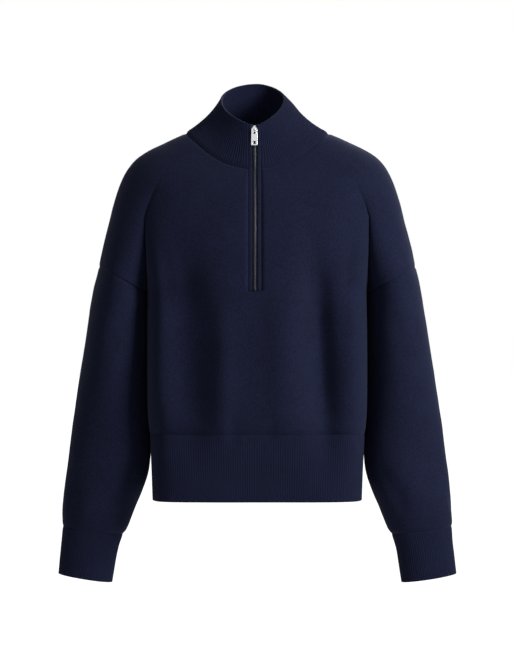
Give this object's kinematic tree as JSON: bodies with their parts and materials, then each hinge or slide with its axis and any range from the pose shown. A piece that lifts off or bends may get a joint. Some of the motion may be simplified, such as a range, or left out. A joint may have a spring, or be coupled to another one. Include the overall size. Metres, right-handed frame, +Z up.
{
  "type": "quarter zip sweater",
  "caption": "Hollow worn-form knitted sweater with drop shoulders, long full sleeves, ribbed funnel collar, cuffs and hem, and a short front zip with a metal pull tab.",
  "frame": {"origin": "middle of the neck base, level with the tops of the shoulders, midway between front and back: the place where a wearer's neck and shoulders hold the garment", "axes": "+Z up along the body, +X to the viewer's right when the front is seen (the wearer's left), front towards -Y"},
  "size_m": [0.5942, 0.2402, 0.7488],
  "materials": {
    "knit": "fine navy jersey knit, matte with a soft fuzz",
    "rib_knit": "fine navy rib knit, matte",
    "zip_band": "narrow folded navy knit edge",
    "zip_tape": "woven zip tape, near black",
    "zip_coil": "black nylon coil with a satin sheen",
    "slider_metal": "polished silver",
    "pull_metal": "polished silver"
  },
  "bodies": {
    "garment": {"front": "knit", "back": "knit", "sleeve_right": "knit", "sleeve_left": "knit", "hem_rib_front": "rib_knit", "hem_rib_back": "rib_knit", "cuff_right": "rib_knit", "cuff_left": "rib_knit", "collar": "rib_knit", "zip_band_right": "zip_band", "zip_band_left": "zip_band", "zip_tape_right": "zip_tape", "zip_tape_left": "zip_tape", "zip_coil_right": "zip_coil", "zip_coil_left": "zip_coil", "zip_slider": "slider_metal"},
    "pull_tab": {"zip_pull": "pull_metal"}
  },
  "joints": [
    {"name": "pull_swing", "type": "hinge", "parent": "garment", "child": "pull_tab", "pos_m": [-0.00408, -0.06786, 0.00695], "axis": [-1, 0, 0], "range_deg": [0, 160]}
  ]
}
